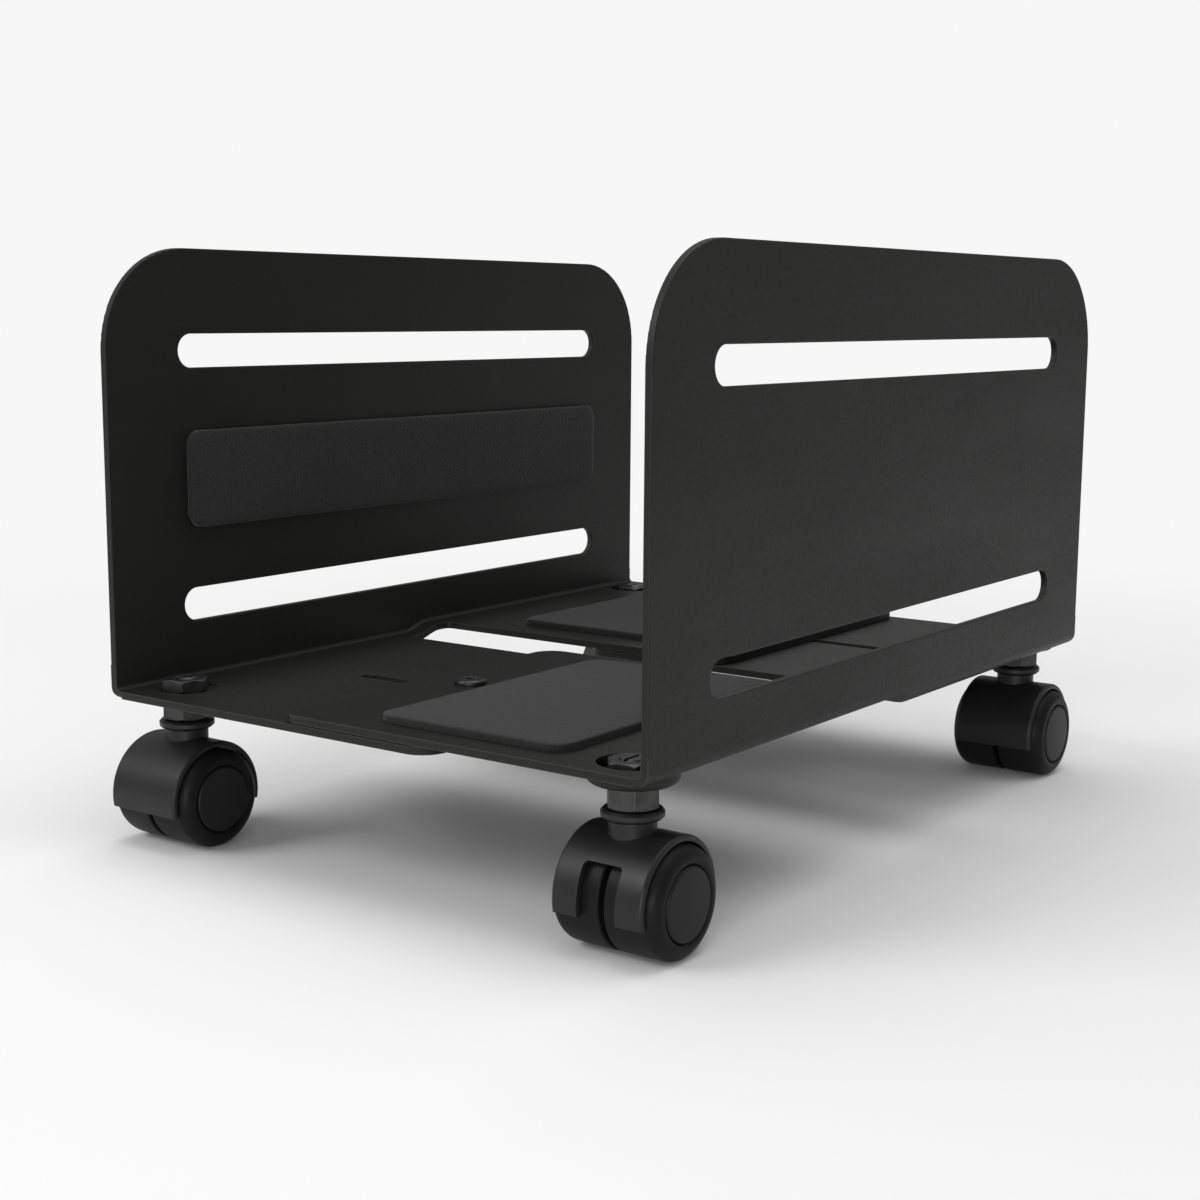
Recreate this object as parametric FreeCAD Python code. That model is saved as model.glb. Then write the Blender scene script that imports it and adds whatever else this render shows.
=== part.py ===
import FreeCAD, Part
import os
import math

# A rolling floor holder, adjustable in width: two folded sheet brackets whose base tongues
# overlap and are clamped together, foam pads, and four twin-wheel casters.
# Frame: floor at Z = 0, X across the holder, front faces -Y. All in mm.

os.makedirs("parts", exist_ok=True)

V = FreeCAD.Vector
DIAGONAL = math.sqrt(0.5)      # sine and cosine of 45 degrees
FLAT = 1e-6                    # an edge thinner than this along an axis lies across it

# ---------------------------------------------------------------- dimensions
DEPTH = 360.0                  # bracket length, front edge to rear edge
WIDTH = 262.0                  # over the two side panels
HALF_WIDTH = WIDTH / 2
SHEET = 3.0                    # sheet thickness
BASE_Z = 63.0                  # underside of the upper tongue above the floor
STEP = 3.4                     # the lower tongue is set down by this much
Y_SHIFT = 0.35                 # brings the footprint's centre to the origin

# Bracket; heights are from the underside of the upper tongue
PANEL_H = 176.0
PANEL_CORNER_R = 41.0          # top corners of the panels
PANEL_FOOT = 10.0              # the flat panel is joined to the fold here
EDGE_R = 0.5                   # rounding of the panel's edges
BEND_R = 5.0                   # outside radius of the fold
JOG_Y = (172.3, 188.3)         # the fold line steps down between these
JOG_SPANS = 8
TONGUE = 168.0                 # reach of a tongue from the panel's outer face
TONGUE_CORNER_R = 10.0
NOTCH_Y = (166.0, 194.0)       # gap between a bracket's two tongues
NOTCH_START = 12.0             # where the gap begins, from the panel's outer face
NOTCH_R = 3.0
PANEL_SLOT_Z = (29.7, 134.7)   # centre heights of the two panel slots
PANEL_SLOT_H = 13.8
PANEL_SLOT_Y = (36.5, 322.7)
FOLD_END_R = 1.2               # corner of the fold at the front edge
FOLD_REAR_R = 2.6              # corner of the fold at the rear edge

# Caster bosses
BOSS_R = 16.2
BOSS_Z = -4.0                  # underside of the bosses
RECESS_R = 12.8
STEM_R = 5.0
STEM_HOLE_R = STEM_R + 0.2
FRONT_HOLE = (19.0, 19.0)      # from panel face, from front edge
REAR_HOLE = (20.0, 21.5)       # from panel face, from rear edge

# Width clamp
CLAMP_IN, CLAMP_Y = 145.0, 85.0      # from panel face, from front edge
CLAMP_HOLE_R = 3.2
SLIDE_IN, SLIDE_OUT = 55.0, 30.0     # width adjustment either way
CLAMP_SLOT_HALF = 3.3
CLAMP_SLOT_R = 3.29
CLAMP_SLOT_END = 3.8                 # slot length beyond the bolt's travel
BOLT_R, BOLT_Z = 3.0, -17.0
BOLT_HEAD_R, BOLT_HEAD_H = 6.5, 2.4
SOCKET_FLATS = 4.0
CLAMP_GAP = 0.05
WASHER_R, WASHER_H = 8.0, 1.4
WASHER_TOP = -STEP - CLAMP_GAP
KNOB_TOP = WASHER_TOP - WASHER_H - CLAMP_GAP
KNOB_H = 13.0
KNOB_HUB_RISE = 3.0                  # hub stands this far above the lobes
KNOB_LOBES = 5

# Foam pads
SIDE_PAD = (40.0, 280.0, 4.0)        # height, length, thickness
SIDE_PAD_Z = 62.2                    # foot of the pad above the upper tongue's underside
BASE_PAD_H = 3.0

# Casters
WHEEL_R = 20.0
WHEEL_IN, WHEEL_OUT = 1.1, 22.2      # the wheel's inner and outer ends along X
HUB_IN = 6.6
SHOULDER = 5.0                       # rounding between tread and outer side
CAP_SEAT = WHEEL_OUT - 2.2
AXLE_R, AXLE_HALF = 3.0, 19.6
RUN = 0.05                           # radial running clearance
TRAIL = 1.6                          # axle offset from the stem
AXLE_Y, AXLE_Z = -TRAIL, WHEEL_R
HOOD_R, HOOD_INNER_R, HOOD_HALF = 23.0, 20.8, 18.4
HOOD_WEB_HALF = 0.65
HOOD_FOOT = 4.4                      # the hood ends this far below the axle
WINDOW_HALF = 7.8
NECK_R = 8.4
STEM_Z = (41.3, BASE_Z + 4.6)
COLLAR_R, COLLAR_Z = 11.0, (46.9, 50.3)
NECK_TOP = COLLAR_Z[0] - 0.3
NUT_FLATS, NUT_H, TOP_NUT_H = 17.0, 8.4, 5.0
NUT_TURN = -51.6                     # degrees about the stem


# ------------------------------------------------------------------- helpers
def box(x0, y0, z0, x1, y1, z1):
    return Part.makeBox(x1 - x0, y1 - y0, z1 - z0, V(x0, y0, z0))


def cyl(radius, z0, z1, x=0.0, y=0.0):
    return Part.makeCylinder(radius, z1 - z0, V(x, y, z0), V(0, 0, 1))


def cyl_x(radius, x0, x1, y=0.0, z=0.0):
    return Part.makeCylinder(radius, x1 - x0, V(x0, y, z), V(1, 0, 0))


def cyl_axle(radius, x0, x1):
    return cyl_x(radius, x0, x1, AXLE_Y, AXLE_Z)


def outline(start, steps):
    """A closed wire. A step is a line's end point, or an arc's (middle, end)."""
    edges = []
    here = start
    for step in steps:
        if isinstance(step, tuple):
            edges.append(Part.Arc(here, *step).toShape())
            here = step[1]
        else:
            edges.append(Part.makeLine(here, step))
            here = step
    return Part.Wire(edges)


def polygon_face(points):
    corners = [V(*point) for point in points]
    return Part.Face(Part.makePolygon(corners + [corners[0]]))


def hexagon(flats, z, turn=0.0):
    """A hexagonal face about the Z axis, sized across its flats."""
    radius = flats / math.sqrt(3)
    angles = [math.radians(turn) + i * math.pi / 3 for i in range(6)]
    return polygon_face([(radius * math.cos(a), radius * math.sin(a), z) for a in angles])


def rounded_plate(x0, y0, x1, y1, z0, z1, radius):
    """A flat plate in X and Y with its four corners rounded."""
    front, right, back, left = V(0, -1, 0), V(1, 0, 0), V(0, 1, 0), V(-1, 0, 0)
    # centre x, centre y, direction the arc starts from and ends at
    corners = (
        (x1 - radius, y0 + radius, front, right),
        (x1 - radius, y1 - radius, right, back),
        (x0 + radius, y1 - radius, back, left),
        (x0 + radius, y0 + radius, left, front),
    )
    steps = []
    for x, y, begin, end in corners:
        centre = V(x, y, z0)
        middle = centre + (begin + end) * (radius * DIAGONAL)
        steps += [centre + begin * radius, (middle, centre + end * radius)]
    wire = outline(V(x0 + radius, y0, z0), steps)
    return Part.Face(wire).extrude(V(0, 0, z1 - z0))


def corner_span(at, inward, radius):
    """From 1 mm outside a corner to one radius inside it."""
    return sorted((at - inward, at + inward * radius))


def corner_cut_yz(y, z, inward_y, inward_z, radius, x0, x1):
    """What is cut away to round an edge running along X at (y, z)."""
    ya, yb = corner_span(y, inward_y, radius)
    za, zb = corner_span(z, inward_z, radius)
    rod = cyl_x(radius, x0 - 1, x1 + 1, y + inward_y * radius, z + inward_z * radius)
    return box(x0, ya, za, x1, yb, zb).cut(rod)


def corner_cut_xy(x, y, inward_x, inward_y, radius, z0, z1):
    """What is cut away to round an edge running along Z at (x, y)."""
    xa, xb = corner_span(x, inward_x, radius)
    ya, yb = corner_span(y, inward_y, radius)
    rod = cyl(radius, z0 - 1, z1 + 1, x + inward_x * radius, y + inward_y * radius)
    return box(xa, ya, z0, xb, yb, z1).cut(rod)


def edges_across_x(shape):
    return [e for e in shape.Edges if e.BoundBox.XLength < FLAT]


def edges_across_z(shape):
    return [e for e in shape.Edges if e.BoundBox.ZLength < FLAT]


def edges_at_z(shape, z):
    return [e for e in shape.Edges
            if abs(e.BoundBox.ZMin - z) < FLAT and abs(e.BoundBox.ZMax - z) < FLAT]


def flip(shape):
    """Mirrored in X."""
    return shape.mirror(V(0, 0, 0), V(1, 0, 0))


def place(shape, x=0.0, y=0.0, z=0.0, turn=0.0):
    """A copy turned about the Z axis, then moved."""
    copy = shape.copy()
    if turn:
        copy.rotate(V(0, 0, 0), V(0, 0, 1), turn)
    copy.translate(V(x, y, z))
    return copy


# ------------------------------------------------------------- sheet bracket
# Drawn with x running inwards from the panel's outer face, y from the front
# edge and z from the underside of the upper tongue.
def fold_wire(y, underside, reach):
    """The folded sheet's cross-section at depth y."""
    inner_r = BEND_R - SHEET
    centre_z = underside + BEND_R

    def at(x, z):
        return V(x, y, z)

    def mid_bend(radius):
        return at(BEND_R - radius * DIAGONAL, centre_z - radius * DIAGONAL)

    return outline(at(reach, underside), [
        at(BEND_R, underside),
        (mid_bend(BEND_R), at(0, centre_z)),
        at(0, PANEL_FOOT),
        at(SHEET, PANEL_FOOT),
        at(SHEET, centre_z),
        (mid_bend(inner_r), at(BEND_R, underside + SHEET)),
        at(reach, underside + SHEET),
        at(reach, underside),
    ])


def panel():
    """The upright plate above the fold, slotted, with its edges rounded."""
    radius = PANEL_CORNER_R
    inset = radius * (1 - DIAGONAL)
    wire = outline(V(0, 0, PANEL_FOOT), [
        V(0, 0, PANEL_H - radius),
        (V(0, inset, PANEL_H - inset), V(0, radius, PANEL_H)),
        V(0, DEPTH - radius, PANEL_H),
        (V(0, DEPTH - inset, PANEL_H - inset), V(0, DEPTH, PANEL_H - radius)),
        V(0, DEPTH, PANEL_FOOT),
        V(0, 0, PANEL_FOOT),
    ])
    plate = Part.Face(wire).extrude(V(SHEET, 0, 0))
    slot_r = PANEL_SLOT_H / 2
    x0, x1 = -2, SHEET + 2
    ya, yb = PANEL_SLOT_Y[0] + slot_r, PANEL_SLOT_Y[1] - slot_r
    for z in PANEL_SLOT_Z:
        slot = box(x0, ya, z - slot_r, x1, yb, z + slot_r)
        slot = slot.fuse([cyl_x(slot_r, x0, x1, y, z) for y in (ya, yb)])
        plate = plate.cut(slot.removeSplitter())
    # every edge lying in the two faces, except along the foot
    rims = [e for e in plate.Edges
            if e.BoundBox.XLength <= 1e-4 and e.BoundBox.ZMax >= PANEL_FOOT + 1e-4]
    return plate.makeFillet(EDGE_R, rims)


def jog():
    """The fold's smooth step from the upper to the lower tongue's level."""
    start, end = JOG_Y
    sections = []
    for i in range(JOG_SPANS + 1):
        part = i / JOG_SPANS
        drop = -STEP * 0.5 * (1 - math.cos(math.pi * part))
        sections.append(fold_wire(start + (end - start) * part, drop, NOTCH_START))
    return Part.makeLoft(sections, True, True)


def boss(x, y, tongue_z, rounding):
    disc = cyl(BOSS_R, BOSS_Z, tongue_z + SHEET - 0.01, x, y)
    return disc.makeFillet(rounding, edges_at_z(disc, BOSS_Z))


def bracket():
    """One folded side bracket: panel and two tongues."""
    jog_start, jog_end = JOG_Y
    notch_start, notch_end = NOTCH_Y
    rear_hole = (REAR_HOLE[0], DEPTH - REAR_HOLE[1])
    holes = (FRONT_HOLE, rear_hole)
    upper = Part.Face(fold_wire(0, 0, TONGUE)).extrude(V(0, jog_start, 0))
    lower = Part.Face(fold_wire(jog_end, -STEP, TONGUE)).extrude(V(0, DEPTH - jog_end, 0))
    body = upper.fuse([
        lower,
        jog(),
        boss(*FRONT_HOLE, tongue_z=0, rounding=3.2),
        boss(*rear_hole, tongue_z=-STEP, rounding=0.5),
    ])
    cuts = [cyl(RECESS_R, BOSS_Z + SHEET, SHEET + 5, x, y) for x, y in holes]
    cuts += [cyl(STEM_HOLE_R, -10, 10, x, y) for x, y in holes]
    cuts += [
        rounded_plate(NOTCH_START, notch_start, TONGUE + 20, notch_end, -9, 9, NOTCH_R),
        corner_cut_yz(DEPTH, -STEP, -1, 1, FOLD_REAR_R, -1, BEND_R + 1),
        corner_cut_yz(0, 0, 1, 1, FOLD_END_R, -1, BEND_R + 1),
    ]
    for y, inward in ((0, 1), (DEPTH, -1), (notch_start, -1), (notch_end, 1)):
        cuts.append(corner_cut_xy(TONGUE, y, -1, inward, TONGUE_CORNER_R, -10, 10))
    # clamp hole in the upper tongue; the lower one's slot meets the other bracket's bolt
    cuts.append(cyl(CLAMP_HOLE_R, -2, SHEET + 2, CLAMP_IN, CLAMP_Y))
    cuts.append(rounded_plate(
        WIDTH - SLIDE_IN - CLAMP_IN - CLAMP_SLOT_END, DEPTH - CLAMP_Y - CLAMP_SLOT_HALF,
        WIDTH + SLIDE_OUT - CLAMP_IN + CLAMP_SLOT_END, DEPTH - CLAMP_Y + CLAMP_SLOT_HALF,
        -STEP - 2, 0, CLAMP_SLOT_R))
    return body.cut(cuts).fuse(panel()).removeSplitter()


# ------------------------------------------- caster, fixed parts on the stem
def stem():
    """Upright pin with a groove near its foot and a slot across its top."""
    pin = cyl(STEM_R, *STEM_Z)
    pin = pin.makeChamfer(0.7, edges_across_z(pin))
    groove = cyl(6.5, 43.0, 44.4).cut(cyl(4.4, 42.5, 45.0))
    pin = pin.cut(groove)
    return pin.cut(box(-0.8, -6, BASE_Z + 3.4, 0.8, 6, BASE_Z + 6))


def collar():
    z0, z1 = COLLAR_Z
    disc = cyl(COLLAR_R, z0, z1)
    disc = disc.makeChamfer(0.9, edges_across_z(disc))
    return disc.cut(cyl(STEM_R, z0 - 1, z1 + 1))


def grip_ring():
    """Split ring in the stem's groove, open towards +X."""
    ring = cyl(6.1, 43.2, 44.2).cut(cyl(4.45, 42.0, 45.0))
    return ring.cut(box(0, -1.5, 42, 8, 1.5, 45))


def nut(z0, height):
    """A hexagon nut on the stem, its corners chamfered top and bottom."""
    body = hexagon(NUT_FLATS, z0, NUT_TURN).extrude(V(0, 0, height))
    corner_r = NUT_FLATS / math.sqrt(3)
    face_r = NUT_FLATS / 2 - 0.1
    outer_r = corner_r + 0.1
    drop = (corner_r - NUT_FLATS / 2) * math.tan(math.radians(30)) + 0.1
    z1 = z0 + height
    profile = polygon_face([
        (0, 0, z0), (face_r, 0, z0), (outer_r, 0, z0 + drop),
        (outer_r, 0, z1 - drop), (face_r, 0, z1), (0, 0, z1),
    ])
    body = body.common(profile.revolve(V(0, 0, 0), V(0, 0, 1), 360))
    return body.cut(cyl(STEM_R + 0.02, z0 - 1, z1 + 1))


# ----------------------------------------------------- caster, turning parts
def hood():
    """Twin-wheel hood with its open side towards +Y."""
    shell = cyl_axle(HOOD_R, -HOOD_HALF, HOOD_HALF)
    shell = shell.makeFillet(1.2, edges_across_x(shell))
    neck = cyl(NECK_R, 30.0, NECK_TOP)
    neck = neck.makeFillet(0.5, edges_at_z(neck, NECK_TOP))
    body = shell.fuse(neck)
    # hollow both sides, leaving a central web
    body = body.cut([
        cyl_axle(HOOD_INNER_R, HOOD_WEB_HALF, HOOD_HALF + 5),
        cyl_axle(HOOD_INNER_R, -HOOD_HALF - 5, -HOOD_WEB_HALF),
    ])
    body = body.cut(box(-40, -60, -10, 40, 60, AXLE_Z - HOOD_FOOT))
    # window on the open side, its upper edge straight across
    window = box(-WINDOW_HALF, AXLE_Y + 8.1, -5, WINDOW_HALF, AXLE_Y + 60, AXLE_Z + 14.4)
    upper_edges = [e for e in window.Edges
                   if e.BoundBox.YLength > 10 and e.BoundBox.ZMin > AXLE_Z]
    body = body.cut(window.makeFillet(1.6, upper_edges))
    # drum that reaches into the hollow wheels and carries the axle
    drum = cyl_axle(15.2, -5.8, 5.8)
    drum = drum.makeChamfer(0.8, edges_across_x(drum))
    body = body.fuse(drum)
    # bores for the axle and stem, and room for the ring
    body = body.cut([
        cyl_axle(AXLE_R, -10, 10),
        cyl(STEM_R + RUN, 41.0, 60),
        cyl(6.3, 42.9, 44.5),
    ])
    return body.removeSplitter()


def axle():
    rod = cyl_axle(AXLE_R, -AXLE_HALF, AXLE_HALF)
    return rod.makeChamfer(0.5, edges_across_x(rod))


def axle_point(x, radius):
    return V(x, AXLE_Y, AXLE_Z + radius)


def turned_on_axle(start, steps):
    """The closed profile revolved about the axle."""
    return Part.Face(outline(start, steps)).revolve(axle_point(0, 0), V(1, 0, 0), 360)


def wheel():
    """The wheel on the +X side, hollow from its inner side, with five ribs."""
    at = axle_point
    bore_r = AXLE_R + RUN
    shoulder_x, shoulder_r = WHEEL_OUT - SHOULDER, WHEEL_R - SHOULDER
    bulge = SHOULDER * DIAGONAL
    rim_r = 0.7                      # rounding of the tread's inner edge
    rim_x = WHEEL_IN + rim_r
    hub_start = at(HUB_IN, 6.0)
    # bore, cap seat, outer ring, shoulder, tread, then the hollow
    body = turned_on_axle(hub_start, [
        at(HUB_IN, bore_r),
        at(CAP_SEAT, bore_r),
        at(CAP_SEAT, 12.4),
        at(WHEEL_OUT - 0.85, 13.45),
        (at(WHEEL_OUT - 0.25, 13.95), at(WHEEL_OUT, 15.0)),
        (at(shoulder_x + bulge, shoulder_r + bulge), at(shoulder_x, WHEEL_R)),
        at(rim_x, WHEEL_R),
        (at(rim_x - rim_r * DIAGONAL, WHEEL_R - rim_r + rim_r * DIAGONAL),
         at(WHEEL_IN, WHEEL_R - rim_r)),
        at(WHEEL_IN, 16.4),
        at(17.2, 16.0),
        at(17.2, 6.4),
        hub_start,
    ])
    ribs = []
    for i in range(5):
        rib = box(HUB_IN + 1.0, -0.9, 5.0, 18.4, 0.9, 17.6)
        rib.rotate(V(0, 0, 0), V(1, 0, 0), 72 * i + 36)
        rib.translate(axle_point(0, 0))
        ribs.append(rib)
    return body.fuse(ribs).removeSplitter()


def cap():
    """The slightly domed cap in the +X wheel's seat."""
    at = axle_point
    lip, rise = 1.1, 0.5             # edge rounding, height of the dome
    cap_r = 13.2
    dome_r = cap_r - lip
    ball_r = (dome_r * dome_r + rise * rise) / (2 * rise)
    edge_x = WHEEL_OUT + 0.30
    ball_x = edge_x + rise - ball_r
    flat_r, mid_r = 1.0, 6.0         # flat at the middle, a point along the dome
    flat_x = ball_x + math.sqrt(ball_r * ball_r - flat_r * flat_r)
    mid_x = ball_x + math.sqrt(ball_r * ball_r - mid_r * mid_r)
    return turned_on_axle(at(CAP_SEAT, 0), [
        at(CAP_SEAT, 12.0),
        at(edge_x - lip, cap_r),
        (at(edge_x - lip + lip * DIAGONAL, dome_r + lip * DIAGONAL), at(edge_x, dome_r)),
        (at(mid_x, mid_r), at(flat_x, flat_r)),
        at(flat_x, 0),
        at(CAP_SEAT, 0),
    ])


# --------------------------------------------------------------- width clamp
def clamp_bolt():
    """Low round head on the upper tongue, shank down through both tongues."""
    head_top = SHEET + BOLT_HEAD_H
    head = cyl(BOLT_HEAD_R, SHEET, head_top)
    head = head.makeFillet(1.3, edges_at_z(head, head_top))
    bolt = head.fuse(cyl(BOLT_R, BOLT_Z, SHEET + 1)).removeSplitter()
    bolt = bolt.makeChamfer(0.5, edges_at_z(bolt, BOLT_Z))
    return bolt.cut(hexagon(SOCKET_FLATS, SHEET + 1.0).extrude(V(0, 0, 3)))


def clamp_washer():
    disc = cyl(WASHER_R, WASHER_TOP - WASHER_H, WASHER_TOP)
    return disc.cut(cyl(CLAMP_HOLE_R, -STEP - 5, 0))


def clamp_knob():
    """Five-lobed hand knob under the base."""
    z0, z1 = KNOB_TOP - KNOB_H, KNOB_TOP - KNOB_HUB_RISE
    angles = [math.radians(360 / KNOB_LOBES * i) for i in range(KNOB_LOBES)]
    lobes = [cyl(4.6, z0, z1, 10.2 * math.cos(a), 10.2 * math.sin(a)) for a in angles]
    knob = cyl(11.5, z0, z1).fuse(lobes).removeSplitter()
    knob = knob.makeFillet(1.2, edges_across_z(knob))
    knob = knob.fuse(cyl(7.5, KNOB_TOP - 4.5, KNOB_TOP)).removeSplitter()
    return knob.cut(cyl(BOLT_R + RUN, KNOB_TOP - 12.4, KNOB_TOP + 1))


# ----------------------------------------------------------------- foam pads
def side_pad():
    """Strip standing against the inside of the right panel."""
    height, length, thickness = SIDE_PAD
    pad = rounded_plate(0, 0, height, length, 0, thickness, 6.0)
    pad.rotate(V(0, 0, 0), V(0, 1, 0), -90)     # thickness towards -X, height along Z
    pad.translate(V(HALF_WIDTH - SHEET, -length / 2, BASE_Z + SIDE_PAD_Z))
    return pad


def base_pad():
    """Sheet on the upper tongue, in the bracket's own frame."""
    return rounded_plate(44, 12, 130, 150, SHEET, SHEET + BASE_PAD_H, 8.0)


# ------------------------------------------------------------------ assembly
parts = {}


def add_pair(name, opposite_name, shape):
    """The shape, and its copy turned half a turn about the holder's middle."""
    parts[name] = shape
    parts[opposite_name] = place(shape, turn=180)


def on_right(shape):
    """From the bracket's frame to the right-hand side of the holder."""
    return place(flip(shape), HALF_WIDTH, -DEPTH / 2, BASE_Z)


add_pair("right_bracket", "left_bracket", on_right(bracket()))
add_pair("right_side_pad", "left_side_pad", side_pad())
add_pair("front_base_pad", "rear_base_pad", on_right(base_pad()))
for name, shape in (("bolt", clamp_bolt()), ("washer", clamp_washer()), ("knob", clamp_knob())):
    placed = place(shape, HALF_WIDTH - CLAMP_IN, -DEPTH / 2 + CLAMP_Y, BASE_Z)
    add_pair("front_clamp_" + name, "rear_clamp_" + name, placed)

# stem x, stem y, turn of the hood; the left bracket is the right one turned round
front_x, front_y = HALF_WIDTH - FRONT_HOLE[0], DEPTH / 2 - FRONT_HOLE[1]
rear_x, rear_y = HALF_WIDTH - REAR_HOLE[0], DEPTH / 2 - REAR_HOLE[1]
casters = {
    "front_right": (front_x, -front_y, 180.0),
    "front_left": (-rear_x, -rear_y, 0.0),
    "rear_right": (rear_x, rear_y, 0.0),
    "rear_left": (-front_x, front_y, 0.0),
}
fixed = {
    "stem": stem(),
    "collar": collar(),
    "ring": grip_ring(),
    "nut": nut(BASE_Z + BOSS_Z - NUT_H, NUT_H),
    "top_nut": nut(BASE_Z + BOSS_Z + SHEET, TOP_NUT_H),
}
turning = {"hood": hood(), "axle": axle()}
plus_side = {"wheel": wheel(), "cap": cap()}
minus_side = {name: flip(shape) for name, shape in plus_side.items()}

for caster, (x, y, turn) in casters.items():
    for name, shape in fixed.items():
        parts[f"{caster}_{name}"] = place(shape, x, y)
    for name, shape in turning.items():
        parts[f"{caster}_{name}"] = place(shape, x, y, 0, turn)
    # "out" is the side away from the holder's middle
    plus_is_out = (x > 0) != (turn == 180.0)
    plus_end, minus_end = ("out", "in") if plus_is_out else ("in", "out")
    for end, side in ((plus_end, plus_side), (minus_end, minus_side)):
        for name, shape in side.items():
            parts[f"{caster}_{name}_{end}"] = place(shape, x, y, 0, turn)

for name, shape in parts.items():
    shape.translate(V(0, Y_SHIFT, 0))
    solid = shape.Solids[0] if len(shape.Solids) == 1 else shape
    solid.exportStep("parts/" + name + ".step")
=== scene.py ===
"""A sheet-metal bracket stand on casters, with foam pads and a clamp knob.

Metres, +Z up, with the floor at z = 0. The show face of the right side pad looks
along -X, that of the left side pad along +X, and those of the base pads along +Z.
"""
import math

import bmesh
import bpy
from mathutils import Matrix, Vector


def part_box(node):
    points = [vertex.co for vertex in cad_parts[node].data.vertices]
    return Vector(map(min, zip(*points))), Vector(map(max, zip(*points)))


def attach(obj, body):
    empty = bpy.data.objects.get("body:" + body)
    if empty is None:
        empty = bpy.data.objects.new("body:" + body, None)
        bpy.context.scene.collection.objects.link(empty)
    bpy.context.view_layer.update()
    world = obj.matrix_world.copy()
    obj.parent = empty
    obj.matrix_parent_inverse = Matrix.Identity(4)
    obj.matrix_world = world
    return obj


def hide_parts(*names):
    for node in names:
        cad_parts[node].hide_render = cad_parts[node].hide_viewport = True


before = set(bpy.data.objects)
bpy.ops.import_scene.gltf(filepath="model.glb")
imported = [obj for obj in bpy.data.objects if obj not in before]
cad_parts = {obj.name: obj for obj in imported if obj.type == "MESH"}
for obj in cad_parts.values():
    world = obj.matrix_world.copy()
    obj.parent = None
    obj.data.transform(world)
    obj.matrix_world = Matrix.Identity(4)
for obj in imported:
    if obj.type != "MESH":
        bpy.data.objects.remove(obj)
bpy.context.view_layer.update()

# Foam pads
FIRST_INSET = 0.0003        # of the ring against the plate
CORNER_STEPS = 10           # segments in each rounded corner
SIDE_STEP = 0.008           # shortest spacing of the points along a straight side
PAD_RINGS = (
    # inset from the box, share of the pad's thickness
    (FIRST_INSET, 0.0), (0.00005, 0.12), (0.0002, 0.45),
    (0.0, 0.78), (0.0004, 0.92), (0.0013, 0.985),
    (0.004, 1.0), (0.009, 1.0), (0.015, 1.0),
)
SIDE_CORNER = 0.006
BASE_CORNER = 0.008
X_AXIS, Z_AXIS = 0, 2
PADS = (
    # name, CAD node, body, axis and direction of the show face, corner radius
    ("foam_right_side", "right_side_pad", "right_side", X_AXIS, -1, SIDE_CORNER),
    ("foam_left_side", "left_side_pad", "left_side", X_AXIS, 1, SIDE_CORNER),
    ("foam_front_base", "front_base_pad", "right_side", Z_AXIS, 1, BASE_CORNER),
    ("foam_rear_base", "rear_base_pad", "left_side", Z_AXIS, 1, BASE_CORNER),
)

# Floor and backdrop
FLOOR_HALF_SIZE = 30.0
FADE_RADII = (0.34, 0.95)   # where the floor starts and ends its fade to the backdrop
BACKDROP = (0.93, 0.93, 0.93)

# Camera
CAMERA_PLACE = (0.4566, -0.6576, 0.2158)
CAMERA_YAW = math.radians(38.355)       # from +Y towards -X
CAMERA_PITCH = math.radians(9.183)      # downwards
CAMERA_AIM = (0.04356831, 0.004142057, -1.0)    # turns the view right and up, camera axes
SENSOR_WIDTH = 36.0         # mm
LENS = 55.53762             # mm


# ---------------------------------------------------------------- node graphs
class Graph:
    """A node tree, with short ways to add and join nodes."""

    def __init__(self, tree):
        self.tree = tree
        tree.nodes.clear()

    def add(self, kind, **properties):
        node = self.tree.nodes.new(kind)
        for key, value in properties.items():
            setattr(node, key, value)
        return node

    def link(self, output, socket):
        self.tree.links.new(output, socket)

    def feed(self, socket, value):
        """Give an input a number, an RGB colour or a link."""
        if isinstance(value, (int, float)):
            socket.default_value = value
        elif isinstance(value, tuple):
            socket.default_value = (*value, 1.0)
        else:
            self.link(value, socket)

    def span(self, value, source, result=(0.0, 1.0), **properties):
        """Map one range of values onto another."""
        node = self.add("ShaderNodeMapRange", **properties)
        node.inputs["From Min"].default_value = source[0]
        node.inputs["From Max"].default_value = source[1]
        node.inputs["To Min"].default_value = result[0]
        node.inputs["To Max"].default_value = result[1]
        self.link(value, node.inputs["Value"])
        return node.outputs["Result"]

    def math(self, operation, first, second):
        node = self.add("ShaderNodeMath", operation=operation)
        self.feed(node.inputs[0], first)
        self.feed(node.inputs[1], second)
        return node.outputs[0]

    def mix_shaders(self, factor, first, second):
        node = self.add("ShaderNodeMixShader")
        for socket, output in zip(node.inputs, (factor, first, second)):
            self.link(output, socket)
        return node.outputs[0]


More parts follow.
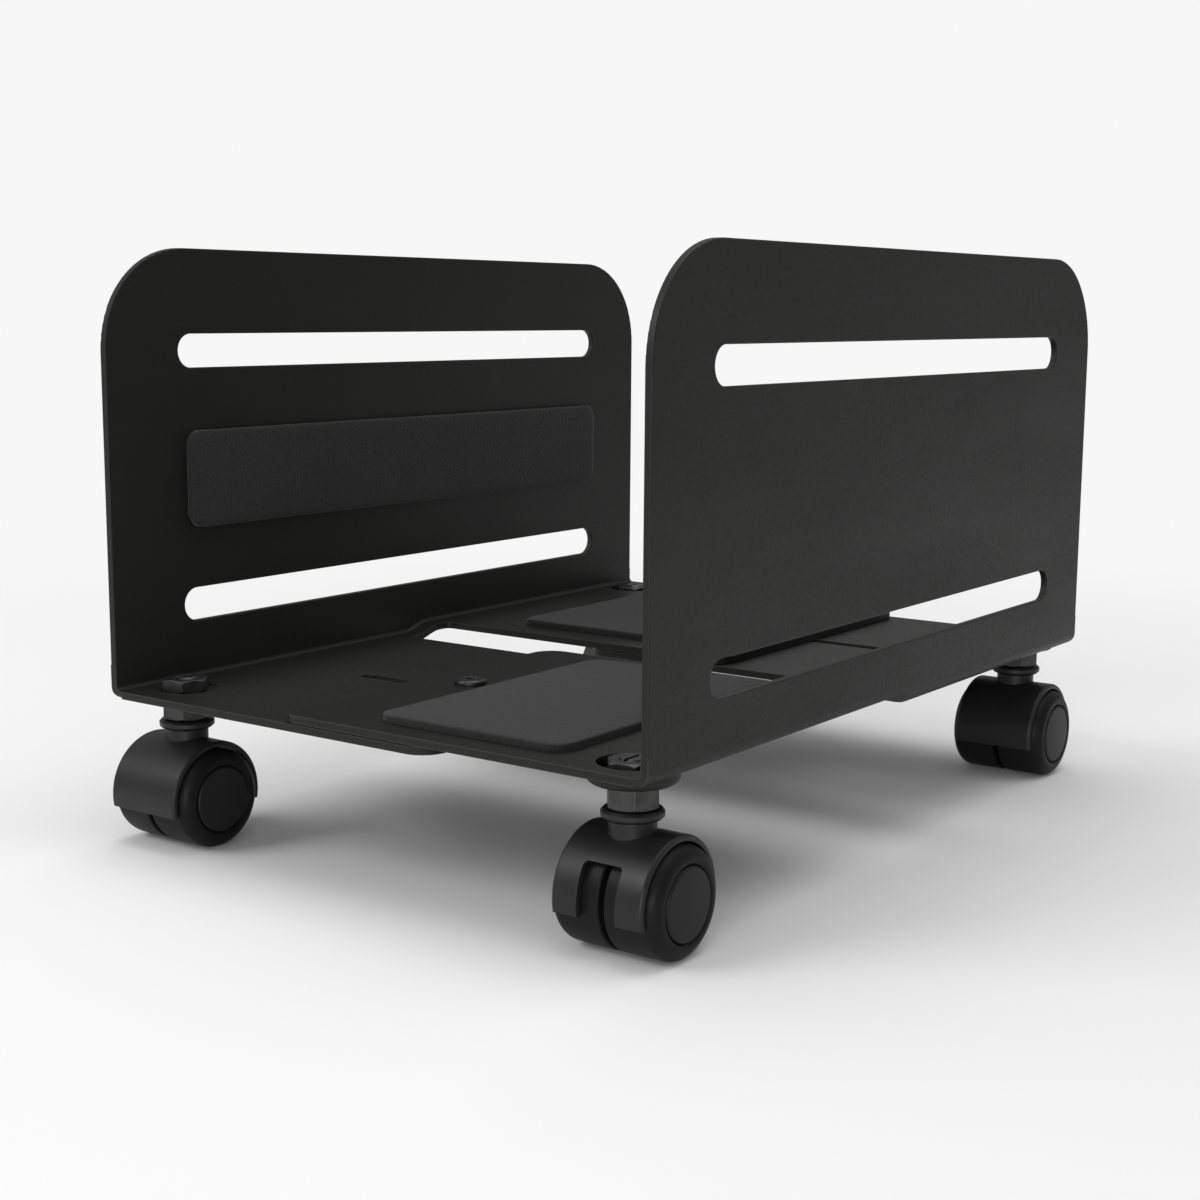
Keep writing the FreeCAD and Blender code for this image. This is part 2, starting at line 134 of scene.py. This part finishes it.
class Surface(Graph):
    """A Principled material, textured in object coordinates."""

    def __init__(self, name):
        self.material = bpy.data.materials.new(name)
        self.material.use_nodes = True
        super().__init__(self.material.node_tree)
        self.output = self.add("ShaderNodeOutputMaterial")
        self.principled = self.add("ShaderNodeBsdfPrincipled")
        self.link(self.principled.outputs[0], self.output.inputs[0])
        self.coordinates = self.add("ShaderNodeTexCoord").outputs["Object"]

    def noise(self, scale, detail, roughness, stretch=None):
        node = self.add("ShaderNodeTexNoise")
        node.inputs["Scale"].default_value = scale
        node.inputs["Detail"].default_value = detail
        node.inputs["Roughness"].default_value = roughness
        vector = self.coordinates
        if stretch:
            mapping = self.add("ShaderNodeMapping")
            mapping.inputs["Scale"].default_value = stretch
            self.link(self.coordinates, mapping.inputs["Vector"])
            vector = mapping.outputs[0]
        self.link(vector, node.inputs["Vector"])
        return node.outputs["Fac"]

    def voronoi(self, scale):
        node = self.add("ShaderNodeTexVoronoi")
        node.inputs["Scale"].default_value = scale
        self.link(self.coordinates, node.inputs["Vector"])
        return node.outputs["Distance"]

    def ramp(self, factor, stops, low=(0.0, 0.0, 0.0), high=(1.0, 1.0, 1.0)):
        """Run from the low to the high colour between two stops."""
        node = self.add("ShaderNodeValToRGB")
        for element, stop, color in zip(node.color_ramp.elements, stops, (low, high)):
            element.position = stop
            element.color = (*color, 1.0)
        self.link(factor, node.inputs["Fac"])
        return node.outputs["Color"]

    def mix(self, factor, first, second):
        node = self.add("ShaderNodeMix", data_type="RGBA")
        # inputs 6 and 7 and output 2 are the colour sockets
        self.feed(node.inputs[0], factor)
        self.feed(node.inputs[6], first)
        self.feed(node.inputs[7], second)
        return node.outputs[2]

    def tint(self, color, mask, amount, toward):
        return self.mix(self.math("MULTIPLY", mask, amount), color, toward)

    def rounded_normal(self, radius):
        """Shading normal that rounds every edge off a little."""
        node = self.add("ShaderNodeBevel", samples=6)
        node.inputs["Radius"].default_value = radius
        return node.outputs[0]

    def painted_edge_highlight_and_wear(self, color, radius, turn, amount, toward):
        """Paint the edges lighter, found by how far the rounded normal turns from the true
        one: a painted edge highlight and edge wear.
        """
        rounded = self.rounded_normal(radius)
        geometry = self.add("ShaderNodeNewGeometry")
        dot = self.add("ShaderNodeVectorMath", operation="DOT_PRODUCT")
        self.link(rounded, dot.inputs[0])
        self.link(geometry.outputs["Normal"], dot.inputs[1])
        turned = self.math("SUBTRACT", 1.0, dot.outputs["Value"])
        return self.tint(color, self.span(turned, source=turn), amount, toward)

    def bump(self, height, strength, distance, normal=None):
        node = self.add("ShaderNodeBump")
        node.inputs["Strength"].default_value = strength
        node.inputs["Distance"].default_value = distance
        self.link(height, node.inputs["Height"])
        if normal is not None:
            self.link(normal, node.inputs["Normal"])
        return node.outputs[0]

    def finish(self, color, roughness, specular, normal=None, metallic=0.0, sheen=0.0):
        inputs = self.principled.inputs
        self.feed(inputs["Base Color"], color)
        self.feed(inputs["Roughness"], roughness)
        if normal is not None:
            self.link(normal, inputs["Normal"])
        inputs["Metallic"].default_value = metallic
        inputs["Specular IOR Level"].default_value = specular
        inputs["Sheen Weight"].default_value = sheen
        inputs["Coat Roughness"].default_value = 0.2
        return self.material


# ------------------------------------------------------------------ materials
def grey(value):
    return (value,) * 3


def scaled(color, factor):
    return tuple(channel * factor for channel in color)


def powder_coat():
    """Satin charcoal coat: orange peel under a fine texture, tiny paler grains,
    a drift of tone, faint handling marks and slightly lighter edges, a painted edge highlight
    and edge wear."""
    s = Surface("powder_coat")
    wave = s.noise(scale=330.0, detail=2.0, roughness=0.45)
    peel = s.noise(scale=950.0, detail=3.0, roughness=0.55)
    grit = s.noise(scale=2600.0, detail=2.0, roughness=0.5)
    cloud = s.noise(scale=9.0, detail=3.0, roughness=0.5)
    rub = s.noise(scale=16.0, detail=5.0, roughness=0.62, stretch=(1.0, 0.35, 1.6))

    color = s.ramp(cloud, stops=(0.30, 0.70),
                   low=(0.0100, 0.0099, 0.0093), high=(0.0132, 0.0130, 0.0123))
    grains = s.ramp(grit, stops=(0.60, 0.70))
    color = s.tint(color, grains, amount=0.30, toward=(0.042, 0.042, 0.040))
    # lighter edges: painted edge highlight and edge wear
    color = s.painted_edge_highlight_and_wear(color, radius=0.0010, turn=(0.015, 0.30), amount=0.55,
                         toward=(0.085, 0.084, 0.081))

    roughness = s.math("ADD",
                       s.span(peel, source=(0.3, 0.7), result=(0.41, 0.53)),
                       s.span(rub, source=(0.35, 0.65), result=(-0.035, 0.035)))
    normal = s.bump(wave, strength=0.16, distance=0.00030)
    normal = s.bump(peel, strength=0.22, distance=0.00012, normal=normal)
    normal = s.bump(grit, strength=0.14, distance=0.00004, normal=normal)
    return s.finish(color, roughness, specular=0.20, normal=normal)


def moulded_plastic(name, tone, specular=0.30, scratches=False):
    """Fine-grained plastic with paler edges (painted edge highlight and edge wear) and, if
    asked for, dusty scuffs.
    """
    s = Surface(name)
    cloud = s.noise(scale=45.0, detail=3.0, roughness=0.5)
    grain = s.noise(scale=2200.0, detail=3.0, roughness=0.6)
    color = s.ramp(cloud, stops=(0.32, 0.68), low=scaled(tone, 0.86), high=scaled(tone, 1.16))
    # paler edges: painted edge highlight and edge wear
    color = s.painted_edge_highlight_and_wear(color, radius=0.0007, turn=(0.02, 0.35), amount=0.35,
                         toward=scaled(tone, 2.2))
    roughness = s.span(cloud, source=(0.3, 0.7), result=(0.36, 0.47))
    normal = s.bump(grain, strength=0.16, distance=0.00005,
                    normal=s.rounded_normal(radius=0.00045))
    if scratches:
        scuff = s.noise(scale=260.0, detail=5.0, roughness=0.7, stretch=(6.0, 1.0, 1.0))
        dust = s.ramp(scuff, stops=(0.56, 0.70))
        color = s.tint(color, dust, amount=0.09, toward=(0.085, 0.082, 0.076))
        added_roughness = 0.12      # where the dust is thickest
        roughness = s.math("ADD", roughness, s.math("MULTIPLY", dust, added_roughness))
        normal = s.bump(scuff, strength=0.10, distance=0.00010, normal=normal)
    return s.finish(color, roughness, specular=specular, normal=normal)


def black_steel():
    """Black oxide steel, brighter along its edges: painted edge highlight and edge wear."""
    s = Surface("black_oxide_steel")
    cloud = s.noise(scale=160.0, detail=4.0, roughness=0.6)
    fine = s.noise(scale=1800.0, detail=2.0, roughness=0.5, stretch=(1.0, 1.0, 3.0))
    color = s.ramp(cloud, stops=(0.3, 0.7),
                   low=(0.040, 0.040, 0.042), high=(0.075, 0.074, 0.072))
    # brighter edges: painted edge highlight and edge wear
    color = s.painted_edge_highlight_and_wear(color, radius=0.0005, turn=(0.02, 0.30), amount=0.6,
                         toward=(0.26, 0.255, 0.245))
    roughness = s.span(fine, source=(0.3, 0.7), result=(0.30, 0.46))
    normal = s.bump(fine, strength=0.12, distance=0.00006,
                    normal=s.rounded_normal(radius=0.0003))
    return s.finish(color, roughness, specular=0.5, normal=normal, metallic=0.85)


def closed_cell_foam():
    """Pebbled skin with darker pits between the cells and darker pinholes (both painted shade
    in the recesses) and paler cut edges (painted edge highlight and edge wear).
    """
    s = Surface("closed_cell_foam")
    cells = s.voronoi(scale=820.0)
    pores = s.voronoi(scale=2100.0)
    cloud = s.noise(scale=22.0, detail=2.0, roughness=0.5)
    fuzz = s.noise(scale=2600.0, detail=3.0, roughness=0.7)
    color = s.ramp(cloud, stops=(0.3, 0.7),
                   low=(0.0170, 0.0170, 0.0176), high=(0.0215, 0.0215, 0.0221))
    # painted shade in the sunken pits between the cells
    painted_pit_shade = s.span(cells, source=(0.25, 0.75), result=(0.0, 0.45))
    color = s.mix(painted_pit_shade, color, (0.0075, 0.0075, 0.0078))
    # painted shade in the pinholes
    painted_pinhole_shade = s.span(pores, source=(0.0, 0.30), result=(0.40, 0.0))
    color = s.mix(painted_pinhole_shade, color, grey(0.008))
    # paler cut edges: painted edge highlight and edge wear
    color = s.painted_edge_highlight_and_wear(color, radius=0.0012, turn=(0.02, 0.40), amount=0.25,
                         toward=grey(0.045))
    normal = s.bump(s.math("SUBTRACT", 1.0, cells), strength=0.55, distance=0.00030)
    normal = s.bump(fuzz, strength=0.25, distance=0.00008, normal=normal)
    return s.finish(color, roughness=0.90, specular=0.25, normal=normal, sheen=0.10)


SHEET = powder_coat()
CASTER_BODY = moulded_plastic("caster_body_plastic", tone=(0.0105, 0.0105, 0.0106))
WHEEL = moulded_plastic("caster_wheel_plastic", tone=grey(0.0070), specular=0.11,
                        scratches=True)
CAP = moulded_plastic("caster_cap_plastic", tone=grey(0.0120), specular=0.15)
KNOB = moulded_plastic("knob_plastic", tone=grey(0.011))
STEEL = black_steel()
FOAM = closed_cell_foam()

# Part of a CAD node's name and its material; the first match counts.
MATERIAL_RULES = (
    ("bracket", SHEET), ("_pad", FOAM), ("clamp_knob", KNOB), ("clamp_", STEEL),
    ("_hood", CASTER_BODY), ("_collar", CASTER_BODY), ("_wheel_", WHEEL), ("_cap_", CAP),
    ("_stem", STEEL), ("nut", STEEL), ("_ring", STEEL), ("_axle", STEEL),
)


def dress_cad_nodes():
    for name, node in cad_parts.items():
        material = next(m for part, m in MATERIAL_RULES if part in name)
        if not node.material_slots:
            node.data.materials.append(material)
        for slot in node.material_slots:
            slot.material = material


# -------------------------------------------------------------------- objects
def add_object(name, data):
    thing = bpy.data.objects.new(name, data)
    bpy.context.collection.objects.link(thing)
    return thing


def add_mesh_object(name, bm, material):
    mesh = bpy.data.meshes.new(name)
    bm.to_mesh(mesh)
    bm.free()
    mesh.materials.append(material)
    return add_object(name, mesh)


# ------------------------------------------------------------------ foam pads
def rounded_outline(u_range, v_range, inset, radius):
    """Rounded rectangle, with extra points that keep the faces even."""
    u_low, u_high = u_range[0] + inset, u_range[1] - inset
    v_low, v_high = v_range[0] + inset, v_range[1] - inset
    corners = (
        # centre of the arc, start angle in degrees
        (u_high - radius, v_high - radius, 0),
        (u_low + radius, v_high - radius, 90),
        (u_low + radius, v_low + radius, 180),
        (u_high - radius, v_low + radius, 270),
    )
    arcs = []
    for u, v, start in corners:
        for i in range(CORNER_STEPS + 1):
            angle = math.radians(start + 90.0 * i / CORNER_STEPS)
            arcs.append((u + radius * math.cos(angle), v + radius * math.sin(angle)))

    outline = []
    for here, after in zip(arcs, arcs[1:] + arcs[:1]):
        outline.append(here)
        du, dv = after[0] - here[0], after[1] - here[1]
        steps = int(math.hypot(du, dv) / SIDE_STEP)
        for j in range(1, steps):
            outline.append((here[0] + du * j / steps, here[1] + dv * j / steps))
    return outline


def foam_pad(name, node, body, axis, direction, corner_radius):
    """Die-cut pad that fills the box of its CAD node and bellies a little
    at the cut edge. u and v run across the pad, and its depth along axis."""
    low, high = (Vector(corner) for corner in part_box(node))
    u_axis, v_axis = (i for i in range(3) if i != axis)
    u_range = (low[u_axis], high[u_axis])
    v_range = (low[v_axis], high[v_axis])
    back, front = low[axis], high[axis]
    if direction < 0:
        back, front = front, back

    outline = rounded_outline(u_range, v_range, FIRST_INSET, corner_radius - FIRST_INSET)
    u_mid, v_mid = sum(u_range) / 2, sum(v_range) / 2
    u_half = (u_range[1] - u_range[0]) / 2
    v_half = (v_range[1] - v_range[0]) / 2

    bm = bmesh.new()
    loops = []
    for inset, share in PAD_RINGS:
        # every ring is the first outline, scaled, so all have the same point count
        u_scale = (u_half - inset) / (u_half - FIRST_INSET)
        v_scale = (v_half - inset) / (v_half - FIRST_INSET)
        loop = []
        for u, v in outline:
            point = Vector()
            point[u_axis] = u_mid + (u - u_mid) * u_scale
            point[v_axis] = v_mid + (v - v_mid) * v_scale
            point[axis] = back + (front - back) * share
            loop.append(bm.verts.new(point))
        loops.append(loop)

    for lower, upper in zip(loops, loops[1:]):
        for i in range(len(outline)):
            j = (i + 1) % len(outline)
            bm.faces.new((lower[i], lower[j], upper[j], upper[i]))
    bm.faces.new(list(reversed(loops[0])))
    bm.faces.new(loops[-1])
    bmesh.ops.recalc_face_normals(bm, faces=bm.faces)

    pad = add_mesh_object(name, bm, FOAM)
    for face in pad.data.polygons:
        face.use_smooth = len(face.vertices) <= 4
    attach(pad, body)
    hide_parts(node)


# --------------------------------------------------------------- surroundings
def floor_material():
    """Pale matt floor that fades into an even backdrop away from the
    object, and is clear when looked at from underneath."""
    s = Surface("pale_floor")
    material = s.finish(color=grey(0.86), roughness=0.8, specular=0.2)
    flat = s.add("ShaderNodeVectorMath", operation="MULTIPLY")
    flat.inputs[1].default_value = (1.0, 1.0, 0.0)      # drops the height
    s.link(s.coordinates, flat.inputs[0])
    reach = s.add("ShaderNodeVectorMath", operation="LENGTH")
    s.link(flat.outputs[0], reach.inputs[0])
    far = s.span(reach.outputs["Value"], source=FADE_RADII, interpolation_type="SMOOTHSTEP")
    path = s.add("ShaderNodeLightPath")
    glow = s.add("ShaderNodeEmission")
    s.feed(glow.inputs["Color"], BACKDROP)
    seen_far = s.math("MULTIPLY", far, path.outputs["Is Camera Ray"])
    above = s.mix_shaders(seen_far, s.principled.outputs[0], glow.outputs[0])
    clear = s.add("ShaderNodeBsdfTransparent")
    underneath = s.add("ShaderNodeNewGeometry").outputs["Backfacing"]
    s.link(s.mix_shaders(underneath, above, clear.outputs[0]), s.output.inputs[0])
    return material


def add_floor():
    bm = bmesh.new()
    bmesh.ops.create_grid(bm, x_segments=2, y_segments=2, size=FLOOR_HALF_SIZE)
    add_mesh_object("floor", bm, floor_material())


def add_world():
    """The camera sees an even backdrop; the object is lit more from overhead."""
    world = bpy.data.worlds.new("studio")
    bpy.context.scene.world = world
    world.use_nodes = True
    graph = Graph(world.node_tree)
    output = graph.add("ShaderNodeOutputWorld")
    seen = graph.add("ShaderNodeBackground")
    lighting = graph.add("ShaderNodeBackground")
    graph.feed(seen.inputs["Color"], BACKDROP)
    path = graph.add("ShaderNodeLightPath")
    geometry = graph.add("ShaderNodeNewGeometry")
    incoming = graph.add("ShaderNodeSeparateXYZ")
    graph.link(geometry.outputs["Incoming"], incoming.inputs[0])
    strength = graph.span(incoming.outputs["Z"], source=(-0.1, -1.0), result=(0.31, 0.95))
    graph.link(strength, lighting.inputs["Strength"])
    background = graph.mix_shaders(path.outputs["Is Camera Ray"],
                                   lighting.outputs[0], seen.outputs[0])
    graph.link(background, output.inputs[0])


def turn_toward(direction):
    return direction.to_track_quat("-Z", "Y")


def add_area_light(name, place, target, size, power):
    light = bpy.data.lights.new(name, "AREA")
    light.shape = "RECTANGLE"
    light.size, light.size_y = size
    light.energy = power
    lamp = add_object(name, light)
    lamp.location = place
    lamp.rotation_mode = "QUATERNION"
    lamp.rotation_quaternion = turn_toward(Vector(target) - Vector(place))


def add_camera():
    lens = bpy.data.cameras.new("camera")
    camera = add_object("camera", lens)
    camera.location = CAMERA_PLACE
    look = Vector((
        -math.sin(CAMERA_YAW) * math.cos(CAMERA_PITCH),
        math.cos(CAMERA_YAW) * math.cos(CAMERA_PITCH),
        -math.sin(CAMERA_PITCH),
    ))
    offset = Vector((0, 0, -1)).rotation_difference(Vector(CAMERA_AIM))
    camera.rotation_mode = "QUATERNION"
    camera.rotation_quaternion = turn_toward(look) @ offset
    lens.sensor_width = SENSOR_WIDTH
    lens.lens = LENS
    lens.clip_start = 0.01
    lens.clip_end = 100.0
    bpy.context.scene.camera = camera


# ---------------------------------------------------------------------- build
dress_cad_nodes()
for pad_row in PADS:
    foam_pad(*pad_row)

add_floor()
add_world()
add_area_light("key", place=(-1.1, -1.6, 1.4), target=(0, 0, 0.1), size=(1.1, 0.9), power=18.0)
add_area_light("low", place=(1.0, -1.9, 0.34), target=(-0.05, 0, 0.04), size=(1.0, 0.5),
               power=14.0)
add_area_light("top", place=(0.1, 0.2, 2.2), target=(0, 0, 0.1), size=(1.8, 1.8), power=18.0)
add_camera()
bpy.context.scene.view_settings.view_transform = "Standard"
bpy.context.scene.view_settings.look = "None"
